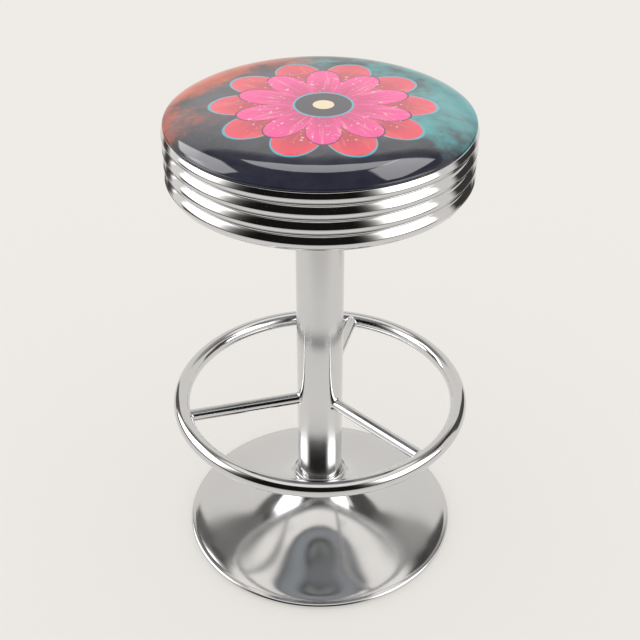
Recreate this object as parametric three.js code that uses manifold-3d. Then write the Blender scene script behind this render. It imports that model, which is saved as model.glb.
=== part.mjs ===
// Diner counter stool: a padded seat with a ribbed metal band turns on a fixed column, which stands in a
// weighted trumpet base and carries a welded footrest. Millimetres, +Z up, origin on the floor under the
// column's axis.
import * as THREE from "three";
import { mergeVertices } from "three/addons/utils/BufferGeometryUtils.js";
import Module from "manifold-3d";

const wasm = await Module();
wasm.setup();

// Fits
const seatGap = 0.3; // between pieces that rest on each other
const runningGap = 0.1; // spindle in its bushes, to the radius
const rollingGap = 0.1; // balls to their races
const cutOverrun = 5; // how far a cutter passes the face it cuts

// Base: rubber floor ring, trumpet cover, ballast plate
const floorRingHeight = 2.7;
const floorRingWidth = 9;
const baseRadius = 190;
const coverWall = 1.8;
const rimBeadRadius = 4;
const rimLipRise = 2; // the rim's bead hangs this far below its turned-in lip
const rimLipWidth = 13;
const rimBeadBore = 1.8; // depth of the hollow rolled into the bead
const coneSlopeShare = 0.13;
const neckSlopeShare = 1.11;
const neckReach = 40; // how far out from the neck the steep part dies away
const brimSlopeShare = 0.27;
const brimReach = 11.8; // how far in from the brim its turn-down starts
const neckClearance = 2.2; // neck's outer edge to the column
const ballastInset = 14; // ballast plate's edge to the brim
const ballastThickness = 6;
const ballastChamfer = 2;
const hubRadius = 58;
const hubHeight = 26;
const hubShoulderRadius = 110;
const hubShoulderHeight = 12;
const clampRecessRadius = 18;
const clampRecessDepth = 15;

// Column, its foot and its collar
const columnRadius = 31;
const columnWall = 2;
const columnLength = 549.2;
const footPlugHeight = 24;
const clampBoltRadius = 8;
const clampHeadAcrossFlats = 24;
const clampHeadHeight = 10;
const clampWasherRadius = 16;
const clampWasherThickness = 2.5;
const collarRise = 17; // collar's top over the neck's top edge
const collarBeadHeight = 7.5;
const collarValley = 4.4; // collar's plain wall, from the column
const lowerBeadDepth = 2.4;
const upperBeadDepth = 1.3;
const beadRoundness = 2;

// Footrest
const hoopRadius = 189.6;
const hoopTubeRadius = 11;
const hoopHeight = 221.3;
const spokeRadius = 8;
const spokeAzimuths = [195, 315, 75];

// Bearing in the column's head
const housingFlange = 4;
const housingLength = 50;
const boreRadius = 12.4;
const bushFlangeRadius = 16;
const bushFlange = 2;
const bushLength = 18;
const spindleRadius = 10;
const flangeRadius = 55;
const flangeThickness = 3.7;
const raceOuterRadius = 24;
const raceInnerRadius = 11;
const raceThickness = 3;
const ballRadius = 3.2;
const ballCircleRadius = 17.5;
const ballCount = 8;
const cageThickness = 2;
const cageRim = 1.6; // metal left between a ball's pocket and the cage's edge
const washerRadius = 17;
const washerThickness = 2.5;
const threadRelief = 0.4; // spindle's threaded end, smaller than its shank
const nutAcrossFlats = 30;
const nutHeight = 10;
const spindleTail = 2; // thread that shows under the nut

// Swivel plate and seat board
const plateRadius = 85;
const plateThickness = 4;
const plateBoltCount = 4;
const plateBoltCircle = 70;
const plateBoltRadius = 4;
const plateHeadAcrossFlats = 13;
const plateHeadHeight = 5.3;
const insertWall = 1.7;
const insertLength = 11;
const boardThickness = 15;

// Cushion: foam under a printed cover
const coverThickness = 1.2;
const hemWidth = 9; // cover turned under the board
const cushionSetback = 2.3; // cushion's full radius, in from the band's crests
const crownRise = 20.9; // height of the crown over its rim
const crownPower = 5.7; // higher is flatter on top
const rollPower = 1.2; // higher is steeper at the rim
const rimDrop = 1.6; // from the rim down to the cushion's underside
const rimUnderWidth = 3.4; // underside's outer corner, in from the rim
const foamOverBoard = 30.3; // crown's top over the board

// Band
const bandWall = 1.2;
const ribPitch = 18.4;
const ribCount = 4;
const ribTopTrim = 2.2; // the top rib ends this far short of its valley, under the cushion
const ribDepth = 4.8;
const ribRoundness = 1.28; // 1 is a sharp ridge, 2 is half an ellipse
const bandCrestRadius = 187;
const bandLipWidth = 6.7;
const seamWidth = 0.4;
const spliceWidth = 52;
const spliceThickness = 1.5;
const spliceMargin = 8; // splice plate to the band's lips
const bracketThickness = 2;
const bracketWidth = 20;
const bracketDrop = 20;
const bracketReach = 42;
const bandScrewInset = 32; // screw's axis, in from the bracket's upright
const bandScrewRadius = 2.2;
const bandScrewHeadRadius = 4.2;
const bandScrewHeadHeight = 2.4;
const bandScrewGrip = 11; // length of screw in the board
const bracketAzimuths = [45, 135, 225, 315];

// Facets
const roundSides = 44;
const hoopSides = 48;
const columnSides = 36;
const boreSides = 24;
const smallSides = 12;
const flatShare = Math.cos(Math.PI / roundSides); // a faceted ring's flats, as a share of its radius

// Heights, stacked up from the floor
const lipBottom = floorRingHeight + seatGap;
const beadBottom = lipBottom - rimLipRise;
const flareBottom = beadBottom + 2 * rimBeadRadius;
const ballastBottom = lipBottom + coverWall + seatGap;
const hubTop = ballastBottom + hubHeight;
const columnBottom = hubTop + seatGap;
const columnTop = columnBottom + columnLength;
const housingFlangeBottom = columnTop + seatGap;
const housingTop = housingFlangeBottom + housingFlange;
const housingBottom = housingTop - housingLength;
const upperBushTop = housingTop + bushFlange;
const lowerRaceBottom = upperBushTop + seatGap;
const lowerRaceTop = lowerRaceBottom + raceThickness;
const ballHeight = lowerRaceTop + rollingGap + ballRadius;
const upperRaceBottom = ballHeight + ballRadius + rollingGap;
const upperRaceTop = upperRaceBottom + raceThickness;
const flangeBottom = upperRaceTop + seatGap;
const plateBottom = flangeBottom + flangeThickness + seatGap;
const plateTop = plateBottom + plateThickness;
const boardBottom = plateTop + seatGap;
const boardTop = boardBottom + boardThickness;
const cushionTop = boardTop + foamOverBoard;
const rimHeight = cushionTop - crownRise;
const cushionUnderside = rimHeight - rimDrop;
const bandTop = cushionUnderside - seatGap;
const bandHeight = ribCount * ribPitch - ribTopTrim;
const bandBottom = bandTop - bandHeight;

// Radii that follow from their neighbours
const neckRadius = columnRadius + neckClearance;
const beadCentreRadius = baseRadius - rimBeadRadius;
const flareRadius = beadCentreRadius - rimBeadRadius / 2;
const columnBore = columnRadius - columnWall;
const plugRadius = columnBore - seatGap;
const ribValleyRadius = bandCrestRadius - ribDepth;
const bandLipRadius = ribValleyRadius - bandLipWidth;
const bandFlatRadius = (ribValleyRadius - bandWall) * flatShare;
const skirtRadius = bandLipRadius;
const boardRadius = skirtRadius - coverThickness - seatGap;
const cushionRadius = bandCrestRadius - cushionSetback;
const bracketFace = bandFlatRadius - 2 * seatGap;

const group = new THREE.Group();

// Materials
const chrome = { color: 0xd9d9dc, roughness: 0.12, metalness: 1 };
const satinSteel = { color: 0x9b9c9f, roughness: 0.4, metalness: 1 };
const castIron = { color: 0x3b3b3d, roughness: 0.75, metalness: 0.6 };
const bronze = { color: 0xa9793f, roughness: 0.35, metalness: 1 };
const blackRubber = { color: 0x1b1b1c, roughness: 0.85, metalness: 0 };
const plywood = { color: 0xb48a58, roughness: 0.75, metalness: 0 };
const foamYellow = { color: 0xe6d9a8, roughness: 0.95, metalness: 0 };
const printedVinyl = { color: 0xc22f62, roughness: 0.2, metalness: 0 };
const blackPaint = { color: 0x161618, roughness: 0.35, metalness: 0 };

function add(name, geometry, finish) {
  const mesh = new THREE.Mesh(geometry, new THREE.MeshStandardMaterial(finish));
  mesh.name = name;
  group.add(mesh);
}

// A closed mesh as a solid that can be joined and cut.
function solidOf(geometry) {
  const bare = geometry.clone();
  bare.deleteAttribute("normal");
  bare.deleteAttribute("uv");
  const merged = mergeVertices(bare);
  return new wasm.Manifold(
    new wasm.Mesh({
      numProp: 3,
      vertProperties: merged.attributes.position.array,
      triVerts: new Uint32Array(merged.index.array),
    }),
  );
}

function geometryOf(solid) {
  const mesh = solid.getMesh();
  const geometry = new THREE.BufferGeometry();
  geometry.setAttribute("position", new THREE.BufferAttribute(mesh.vertProperties, 3));
  geometry.setIndex(new THREE.BufferAttribute(mesh.triVerts, 1));
  geometry.computeVertexNormals();
  return geometry;
}

function cut(geometry, cutters) {
  const rest = cutters.reduce((body, cutter) => body.subtract(solidOf(cutter)), solidOf(geometry));
  return geometryOf(rest);
}

function join(first, second) {
  return geometryOf(solidOf(first).add(solidOf(second)));
}

// A profile of [radius, height] points turned about the axis; its points may run either way round.
function turned(profile, sides) {
  const onAxis = profile[0][0] === 0 && profile.at(-1)[0] === 0;
  const loop = onAxis ? profile : [...profile, profile[0]];
  const points = loop.map(([r, z]) => new THREE.Vector2(r, z));
  if (THREE.ShapeUtils.area(points) < 0) points.reverse();
  return new THREE.LatheGeometry(points, sides).rotateX(Math.PI / 2);
}

function disc(radius, bottom, top, sides) {
  return turned([[0, bottom], [radius, bottom], [radius, top], [0, top]], sides);
}

function ring(inner, outer, bottom, top, sides) {
  return turned([[inner, bottom], [outer, bottom], [outer, top], [inner, top]], sides);
}

function place(geometry, radius, azimuth) {
  return geometry.translate(radius, 0, 0).rotateZ(THREE.MathUtils.degToRad(azimuth));
}

function polygon(acrossFlats, sides) {
  const corner = acrossFlats / 2 / Math.cos(Math.PI / sides);
  const shape = new THREE.Shape();
  for (let i = 0; i < sides; i++) {
    const turn = (2 * Math.PI * i) / sides;
    shape[i ? "lineTo" : "moveTo"](corner * Math.cos(turn), corner * Math.sin(turn));
  }
  return shape;
}

function prism(shape, bottom, height) {
  const options = { depth: height, bevelEnabled: false };
  return new THREE.ExtrudeGeometry(shape, options).translate(0, 0, bottom);
}

// A bolt that points up: hexagonal head below, plain shank above.
function hexBolt(acrossFlats, headHeight, shankRadius, headBottom, tip) {
  const head = prism(polygon(acrossFlats, 6), headBottom, headHeight);
  return join(head, disc(shankRadius, headBottom + headHeight / 2, tip, smallSides));
}

// How far a bulge stands out, at a share from -1 at its foot to 1 at its top.
function bulgeAt(share, depth, roundness) {
  return depth * (1 - Math.abs(share) ** roundness) ** (1 / roundness);
}

// Bulges one above another on a wall of the given radius.
function bulges(wall, depth, roundness, bottom, pitch, count, steps) {
  const points = [];
  for (let i = 0; i < count * steps; i++) {
    const share = -Math.cos((Math.PI * (i % steps)) / steps);
    const along = Math.floor(i / steps) + (1 + share) / 2;
    points.push([wall + bulgeAt(share, depth, roundness), bottom + pitch * along]);
  }
  return points;
}

// Height of the trumpet cover's outer face: a shallow cone that steepens towards the neck, and turns
// down again near the brim.
function flareHeight(r) {
  const neckFade = Math.exp(-(r - neckRadius) / neckReach);
  const farFade = Math.exp(-(flareRadius - neckRadius) / neckReach);
  const brimFade = Math.exp(-(flareRadius - r) / brimReach);
  const cone = coneSlopeShare * (flareRadius - r);
  const neck = neckSlopeShare * neckReach * (neckFade - farFade);
  return flareBottom + cone + neck + brimSlopeShare * brimReach * (1 - brimFade);
}

function flareSlope(r) {
  const neck = neckSlopeShare * Math.exp(-(r - neckRadius) / neckReach);
  return coneSlopeShare + neck + brimSlopeShare * Math.exp(-(flareRadius - r) / brimReach);
}

const neckTop = flareHeight(neckRadius);

function addFloorRing() {
  const outer = beadCentreRadius - rimBeadRadius - seatGap;
  const geometry = ring(outer - floorRingWidth, outer, 0, floorRingHeight, roundSides);
  add("floor_ring", geometry, blackRubber);
}

function addBaseCover() {
  const outerShares = [0, 0.04, 0.1, 0.18, 0.28, 0.42, 0.6, 0.8, 0.93, 1];
  const outer = outerShares.map((share) => {
    const r = neckRadius + share * (flareRadius - neckRadius);
    return [r, flareHeight(r)];
  });
  const beadCentre = beadBottom + rimBeadRadius;
  const beadTurnShares = [0.44, 0.22, 0, -0.25, -0.5];
  const bead = beadTurnShares.map((share) => {
    const turn = share * Math.PI;
    const out = rimBeadRadius * Math.cos(turn);
    return [beadCentreRadius + out, beadCentre + rimBeadRadius * Math.sin(turn)];
  });
  const lipOuter = beadCentreRadius - rimBeadRadius;
  const lipTop = lipBottom + coverWall;
  const lip = [
    [lipOuter, lipBottom],
    [lipOuter - rimLipWidth, lipBottom],
    [lipOuter - rimLipWidth, lipTop],
    [lipOuter, lipTop],
    [lipOuter + rimBeadBore, lipTop],
  ];
  const inner = [0.98, 0.8, 0.5, 0.28, 0.1, 0].map((share) => {
    const r = neckRadius + share * (flareRadius - neckRadius);
    const tilt = Math.atan(flareSlope(r));
    return [r - coverWall * Math.sin(tilt), flareHeight(r) - coverWall * Math.cos(tilt)];
  });
  add("base_cover", turned([...outer, ...bead, ...lip, ...inner], roundSides), chrome);
}

function addBallastPlate() {
  const edge = flareRadius - ballastInset;
  const rimTop = ballastBottom + ballastThickness;
  const recessTop = ballastBottom + clampRecessDepth;
  const profile = [
    [clampRecessRadius, ballastBottom],
    [edge, ballastBottom],
    [edge, rimTop - ballastChamfer],
    [edge - ballastChamfer, rimTop],
    [hubShoulderRadius, rimTop],
    [hubShoulderRadius - ballastChamfer, ballastBottom + hubShoulderHeight],
    [hubRadius, ballastBottom + hubShoulderHeight],
    [hubRadius - ballastChamfer, hubTop],
    [clampBoltRadius + seatGap, hubTop],
    [clampBoltRadius + seatGap, recessTop],
    [clampRecessRadius, recessTop],
  ];
  add("ballast_plate", turned(profile, roundSides), castIron);
}

function addClamp() {
  const hole = clampBoltRadius + seatGap;
  const washerTop = ballastBottom + clampRecessDepth - seatGap;
  const washerBottom = washerTop - clampWasherThickness;
  const headBottom = washerBottom - seatGap - clampHeadHeight;
  const plugTop = columnBottom + footPlugHeight;
  add("clamp_washer", ring(hole, clampWasherRadius, washerBottom, washerTop, boreSides), satinSteel);
  const bolt = hexBolt(clampHeadAcrossFlats, clampHeadHeight, clampBoltRadius, headBottom, plugTop);
  add("clamp_bolt", bolt, satinSteel);
  add("column_foot_plug", ring(hole, plugRadius, columnBottom, plugTop, columnSides), satinSteel);
}

function addColumn() {
  const geometry = ring(columnBore, columnRadius, columnBottom, columnTop, columnSides);
  add("column_tube", geometry, chrome);
}

function addNeckCollar() {
  const wall = columnRadius + collarValley;
  const bore = columnRadius + seatGap;
  const top = neckTop + collarRise;
  const beadsBottom = top - 2 * collarBeadHeight;
  const seam = beadsBottom + collarBeadHeight;
  const lower = bulges(wall, lowerBeadDepth, beadRoundness, beadsBottom, collarBeadHeight, 1, 4);
  const upper = bulges(wall, upperBeadDepth, beadRoundness, seam, collarBeadHeight, 1, 4);
  const profile = [
    ...[neckRadius, wall].map((r) => [r, flareHeight(r) + 2 * seatGap]),
    ...lower,
    ...upper,
    [bore, top],
    [bore, neckTop + 2 * seatGap],
  ];
  add("neck_collar", turned(profile, columnSides), chrome);
}

function hoop(tubeRadius) {
  const steps = 12;
  const section = Array.from({ length: steps }, (_, i) => {
    const turn = (2 * Math.PI * i) / steps;
    return [hoopRadius + tubeRadius * Math.cos(turn), hoopHeight + tubeRadius * Math.sin(turn)];
  });
  return turned(section, hoopSides);
}

function addFootrest() {
  add("footrest_hoop", hoop(hoopTubeRadius), chrome);
  const column = disc(columnRadius + seatGap, columnBottom, columnTop, columnSides);
  const hoopCut = hoop(hoopTubeRadius + seatGap);
  spokeAzimuths.forEach((azimuth, i) => {
    const bar = disc(spokeRadius, columnRadius / 2, hoopRadius, smallSides).rotateY(Math.PI / 2);
    const turn = THREE.MathUtils.degToRad(azimuth);
    const placed = bar.translate(0, 0, hoopHeight).rotateZ(turn);
    add("footrest_spoke_" + (i + 1), cut(placed, [column, hoopCut]), chrome);
  });
}

function addBearing() {
  const bushBore = spindleRadius + runningGap;
  const bushWall = boreRadius - seatGap;
  const housing = [
    [boreRadius, housingBottom],
    [plugRadius, housingBottom],
    [plugRadius, housingFlangeBottom],
    [columnRadius, housingFlangeBottom],
    [columnRadius, housingTop],
    [boreRadius, housingTop],
  ];
  add("bearing_housing", turned(housing, columnSides), satinSteel);
  const upperFlangeBottom = housingTop + seatGap;
  const upperBush = [
    [bushBore, upperBushTop - bushLength],
    [bushWall, upperBushTop - bushLength],
    [bushWall, upperFlangeBottom],
    [bushFlangeRadius, upperFlangeBottom],
    [bushFlangeRadius, upperBushTop],
    [bushBore, upperBushTop],
  ];
  add("upper_bush", turned(upperBush, boreSides), bronze);
  const lowerFlangeTop = housingBottom - seatGap;
  const lowerFlangeBottom = housingBottom - bushFlange;
  const lowerBush = [
    [bushBore, lowerFlangeBottom],
    [bushFlangeRadius, lowerFlangeBottom],
    [bushFlangeRadius, lowerFlangeTop],
    [bushWall, lowerFlangeTop],
    [bushWall, lowerFlangeBottom + bushLength],
    [bushBore, lowerFlangeBottom + bushLength],
  ];
  add("lower_bush", turned(lowerBush, boreSides), bronze);
  const races = { lower_race: lowerRaceBottom, upper_race: upperRaceBottom };
  for (const [name, bottom] of Object.entries(races)) {
    const race = ring(raceInnerRadius, raceOuterRadius, bottom, bottom + raceThickness, boreSides);
    add(name, race, satinSteel);
  }
}

function addBallCage() {
  const pocket = ballRadius + seatGap;
  const reach = pocket + cageRim;
  const bottom = ballHeight - cageThickness / 2;
  const inner = ballCircleRadius - reach;
  const outer = ballCircleRadius + reach;
  const blank = ring(inner, outer, bottom, bottom + cageThickness, boreSides);
  const azimuths = Array.from({ length: ballCount }, (_, i) => (360 * i) / ballCount);
  const pockets = azimuths.map((azimuth) =>
    place(disc(pocket, bottom - cutOverrun, bottom + cutOverrun, smallSides), ballCircleRadius, azimuth),
  );
  add("ball_cage", cut(blank, pockets), bronze);
  azimuths.forEach((azimuth, i) => {
    const ball = new THREE.IcosahedronGeometry(ballRadius, 1).translate(0, 0, ballHeight);
    add("ball_" + (i + 1), place(ball, ballCircleRadius, azimuth), satinSteel);
  });
}

function addSpindle() {
  const threadRadius = spindleRadius - threadRelief;
  const washerTop = housingBottom - bushFlange - seatGap;
  const washerBottom = washerTop - washerThickness;
  const nutTop = washerBottom - seatGap;
  const nutBottom = nutTop - nutHeight;
  const hole = threadRadius + seatGap;
  const spindle = [
    [0, nutBottom - spindleTail],
    [threadRadius, nutBottom - spindleTail],
    [threadRadius, washerTop],
    [spindleRadius, washerTop],
    [spindleRadius, plateTop],
    [0, plateTop],
  ];
  add("spindle", turned(spindle, boreSides), satinSteel);
  const flangeTop = flangeBottom + flangeThickness;
  const flange = ring(spindleRadius + seatGap, flangeRadius, flangeBottom, flangeTop, roundSides);
  add("spindle_flange", flange, satinSteel);
  add("spindle_washer", ring(hole, washerRadius, washerBottom, washerTop, boreSides), satinSteel);
  const nut = prism(polygon(nutAcrossFlats, 6), nutBottom, nutHeight);
  const thread = disc(hole, nutBottom - cutOverrun, nutTop + cutOverrun, boreSides);
  add("spindle_nut", cut(nut, [thread]), satinSteel);
}

function boltAzimuths() {
  return Array.from({ length: plateBoltCount }, (_, i) => (360 * i) / plateBoltCount);
}

function addSwivelPlate() {
  const blank = disc(plateRadius, plateBottom, plateTop, roundSides);
  const from = plateBottom - cutOverrun;
  const to = plateTop + cutOverrun;
  const holes = boltAzimuths().map((azimuth) =>
    place(disc(plateBoltRadius + seatGap, from, to, smallSides), plateBoltCircle, azimuth),
  );
  const centre = disc(spindleRadius + seatGap, from, to, boreSides);
  add("swivel_plate", cut(blank, [centre, ...holes]), blackPaint);
  const headBottom = plateBottom - seatGap - plateHeadHeight;
  const tip = boardBottom + insertLength;
  boltAzimuths().forEach((azimuth, i) => {
    const bolt = hexBolt(plateHeadAcrossFlats, plateHeadHeight, plateBoltRadius, headBottom, tip);
    add("plate_bolt_" + (i + 1), place(bolt, plateBoltCircle, azimuth), satinSteel);
  });
}

function addSeatBoard() {
  const bore = plateBoltRadius + seatGap;
  const insertTop = boardBottom + insertLength;
  const from = boardBottom - cutOverrun;
  const insertHoles = boltAzimuths().map((azimuth) => {
    const hole = disc(bore + insertWall + seatGap, from, insertTop + seatGap, smallSides);
    return place(hole, plateBoltCircle, azimuth);
  });
  const screwHoles = bracketAzimuths.map((azimuth) => {
    const hole = disc(bandScrewRadius + seatGap, from, boardBottom + bandScrewGrip + seatGap, smallSides);
    return place(hole, bracketFace - bandScrewInset, azimuth);
  });
  const blank = disc(boardRadius, boardBottom, boardTop, roundSides);
  add("seat_board", cut(blank, [...insertHoles, ...screwHoles]), plywood);
  boltAzimuths().forEach((azimuth, i) => {
    const insert = ring(bore, bore + insertWall, boardBottom, insertTop, smallSides);
    add("board_insert_" + (i + 1), place(insert, plateBoltCircle, azimuth), satinSteel);
  });
}

// The crown as a profile from the axis out to the cushion's underside: nearly flat on top, with a round
// shoulder, and steep at the rim.
function crownProfile(inset, shares) {
  const radius = cushionRadius - inset;
  const rise = crownRise - inset;
  const crown = shares.map((share) => {
    const height = rise * (1 - share ** crownPower) ** (1 / rollPower);
    return [share * radius, rimHeight + height];
  });
  return [...crown, [radius - rimUnderWidth, rimHeight - rimDrop + inset]];
}

function addCushion() {
  const hemBottom = boardBottom - seatGap - coverThickness;
  const hemInner = boardRadius - hemWidth;
  const outer = [
    ...crownProfile(0, [0, 0.4, 0.64, 0.77, 0.86, 0.93, 0.98, 1]),
    [skirtRadius, cushionUnderside],
    [skirtRadius, hemBottom + coverThickness],
    [boardRadius, hemBottom],
    [hemInner, hemBottom],
  ];
  const inner = [
    [hemInner, hemBottom + coverThickness],
    [boardRadius, hemBottom + coverThickness],
    [skirtRadius - coverThickness, boardBottom],
    [skirtRadius - coverThickness, cushionUnderside + coverThickness],
    ...crownProfile(coverThickness, [0, 0.6, 0.8, 0.92, 1]).reverse(),
  ];
  add("seat_cover", turned([...outer, ...inner], roundSides), printedVinyl);
  const inset = coverThickness + seatGap;
  const foam = [
    ...crownProfile(inset, [0, 0.6, 0.8, 0.92, 1]),
    [boardRadius, cushionUnderside + inset],
    [boardRadius, boardTop + seatGap],
    [0, boardTop + seatGap],
  ];
  add("seat_foam", turned(foam, roundSides), foamYellow);
}

function addBand() {
  const steps = 4;
  const cap = bandTop - bandWall;
  const topShare = 1 - (2 * ribTopTrim) / ribPitch;
  const topRadius = ribValleyRadius + bulgeAt(topShare, ribDepth, ribRoundness);
  const outer = bulges(ribValleyRadius, ribDepth, ribRoundness, bandBottom, ribPitch, ribCount, steps);
  const innerWall = ribValleyRadius - bandWall;
  const inner = bulges(innerWall, ribDepth, ribRoundness, bandBottom, ribPitch, ribCount, steps);
  const profile = [
    ...outer.filter(([, z]) => z < cap),
    [topRadius, bandTop],
    [bandLipRadius, bandTop],
    [bandLipRadius, cap],
    [innerWall, cap],
    ...inner.filter(([, z]) => z > bandBottom + bandWall && z < cap - bandWall).reverse(),
    [innerWall, bandBottom + bandWall],
    [bandLipRadius, bandBottom + bandWall],
    [bandLipRadius, bandBottom],
  ];
  const slot = new THREE.BoxGeometry(seamWidth, bandCrestRadius, bandHeight + 2 * cutOverrun);
  slot.translate(0, bandCrestRadius / 2 + bandLipRadius / 2, bandBottom + bandHeight / 2);
  add("ring_band", cut(turned(profile, roundSides), [slot]), chrome);
}

function addSplicePlate() {
  const outer = bandFlatRadius - seatGap;
  const half = spliceWidth / 2 / outer;
  const shape = new THREE.Shape();
  shape.absarc(0, 0, outer, Math.PI / 2 - half, Math.PI / 2 + half, false);
  shape.absarc(0, 0, outer - spliceThickness, Math.PI / 2 + half, Math.PI / 2 - half, true);
  const height = bandHeight - 2 * spliceMargin;
  const options = { depth: height, bevelEnabled: false, curveSegments: 8 };
  const geometry = new THREE.ExtrudeGeometry(shape, options);
  add("band_splice_plate", geometry.translate(0, 0, bandBottom + spliceMargin), satinSteel);
}

function addBandBrackets() {
  const top = boardBottom - 2 * seatGap - coverThickness;
  const under = top - bracketThickness;
  const screwRadius = bracketFace - bandScrewInset;
  const outline = [
    [bracketFace, top],
    [bracketFace - bracketReach, top],
    [bracketFace - bracketReach, under],
    [bracketFace - bracketThickness, under],
    [bracketFace - bracketThickness, top - bracketDrop],
    [bracketFace, top - bracketDrop],
  ];
  const shape = new THREE.Shape(outline.map(([r, z]) => new THREE.Vector2(r, z)));
  bracketAzimuths.forEach((azimuth, i) => {
    const strip = prism(shape, -bracketWidth / 2, bracketWidth).rotateX(Math.PI / 2);
    const hole = disc(bandScrewRadius + seatGap, under - cutOverrun, top + cutOverrun, smallSides);
    const drilled = cut(strip, [hole.translate(screwRadius, 0, 0)]);
    add("band_bracket_" + (i + 1), place(drilled, 0, azimuth), satinSteel);
    const headTop = under - seatGap;
    const headBottom = headTop - bandScrewHeadHeight;
    const head = disc(bandScrewHeadRadius, headBottom, headTop, smallSides);
    const tip = boardBottom + bandScrewGrip;
    const screw = join(head, disc(bandScrewRadius, headBottom + bandScrewHeadHeight / 2, tip, smallSides));
    add("band_screw_" + (i + 1), place(screw, screwRadius, azimuth), satinSteel);
  });
}

addFloorRing();
addBaseCover();
addBallastPlate();
addClamp();
addColumn();
addNeckCollar();
addFootrest();
addBearing();
addBallCage();
addSpindle();
addSwivelPlate();
addSeatBoard();
addCushion();
addBand();
addSplicePlate();
addBandBrackets();

export default group;
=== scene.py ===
import math

import bmesh
import bpy
import numpy as np
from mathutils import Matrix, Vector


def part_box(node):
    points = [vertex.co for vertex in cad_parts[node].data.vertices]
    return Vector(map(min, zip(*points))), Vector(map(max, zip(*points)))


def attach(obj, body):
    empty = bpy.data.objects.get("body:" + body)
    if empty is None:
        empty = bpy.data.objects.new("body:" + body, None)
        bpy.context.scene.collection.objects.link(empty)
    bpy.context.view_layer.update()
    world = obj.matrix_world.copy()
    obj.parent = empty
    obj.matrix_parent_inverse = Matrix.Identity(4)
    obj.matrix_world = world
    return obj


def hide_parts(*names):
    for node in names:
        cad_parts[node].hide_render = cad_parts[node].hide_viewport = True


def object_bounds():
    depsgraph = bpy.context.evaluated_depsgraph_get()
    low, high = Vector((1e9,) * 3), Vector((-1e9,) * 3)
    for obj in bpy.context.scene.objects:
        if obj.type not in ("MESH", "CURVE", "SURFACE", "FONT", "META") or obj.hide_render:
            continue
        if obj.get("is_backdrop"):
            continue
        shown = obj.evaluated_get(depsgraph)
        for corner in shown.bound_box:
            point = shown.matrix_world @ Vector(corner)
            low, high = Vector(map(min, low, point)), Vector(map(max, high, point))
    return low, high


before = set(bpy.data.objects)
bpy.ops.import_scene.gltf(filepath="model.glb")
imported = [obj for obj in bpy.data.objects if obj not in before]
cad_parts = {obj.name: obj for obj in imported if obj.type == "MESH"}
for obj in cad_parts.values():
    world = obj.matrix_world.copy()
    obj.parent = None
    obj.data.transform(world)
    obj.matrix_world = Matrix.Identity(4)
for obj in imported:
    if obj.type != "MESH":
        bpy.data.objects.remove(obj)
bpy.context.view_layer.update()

# Camera: in front of the stool on its -Y side, 1.2 m up, looking down at it by 34 degrees. It has a long
# lens, 63 mm on a sensor 36 mm wide, with no shift and no blur.
camera_data = bpy.data.cameras.new("camera")
camera_data.sensor_width = 36
camera_data.lens = 63.45
camera = bpy.data.objects.new("camera", camera_data)
camera.location = (0, -1.2272, 1.1835)
camera.rotation_euler = (math.radians(90 - 34.335), 0, 0)
bpy.context.scene.collection.objects.link(camera)
bpy.context.scene.camera = camera
bpy.context.scene.view_settings.view_transform = "Standard"


# Studio: a pale sweep, dimmer above and at the rear corners, which metal and gloss mirror. Matt surfaces
# get an even light of strength 1 from all round, and the camera sees the sweep's colour everywhere.
class Wire:
    """A shader socket that stands in sums, products and powers; each operator adds its Math node."""

    def __init__(self, graph, socket):
        self.graph = graph
        self.socket = socket

    def math(self, operation, *others):
        inputs = dict(enumerate([self, *others]))
        return self.graph.add("ShaderNodeMath", {"operation": operation}, inputs)

    def __add__(self, other):
        return self.math("ADD", other)

    def __sub__(self, other):
        return self.math("SUBTRACT", other)

    def __rsub__(self, other):
        return self.graph.add("ShaderNodeMath", {"operation": "SUBTRACT"}, {0: other, 1: self})

    def __mul__(self, other):
        return self.math("MULTIPLY", other)

    def __truediv__(self, other):
        return self.math("DIVIDE", other)

    def __pow__(self, other):
        return self.math("POWER", other)

    def __neg__(self):
        return self * -1

    def __abs__(self):
        return self.math("ABSOLUTE")

    __radd__ = __add__
    __rmul__ = __mul__

    def step(self, low, high):
        """0 up to low, 1 from high on, and a smooth rise between them."""
        sockets = {"Value": self, "From Min": low, "From Max": high}
        return self.graph.add("ShaderNodeMapRange", {"interpolation_type": "SMOOTHSTEP"}, sockets)

    def between(self, low, high, soft):
        """1 from low to high, fading to 0 over soft on either side."""
        return self.step(low - soft, low + soft) * (1 - self.step(high - soft, high + soft))

    def parts(self):
        """The three coordinates of a vector."""
        return [self.graph.add("ShaderNodeSeparateXYZ", {}, {0: self}, out) for out in "XYZ"]

    def azimuth(self):
        """A vector's direction round the stool in degrees, 0 in front and 90 at the right: atan2(x, -y)."""
        x, y = self.parts()[:2]
        return x.math("ARCTAN2", -y) * (180 / math.pi)


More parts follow.
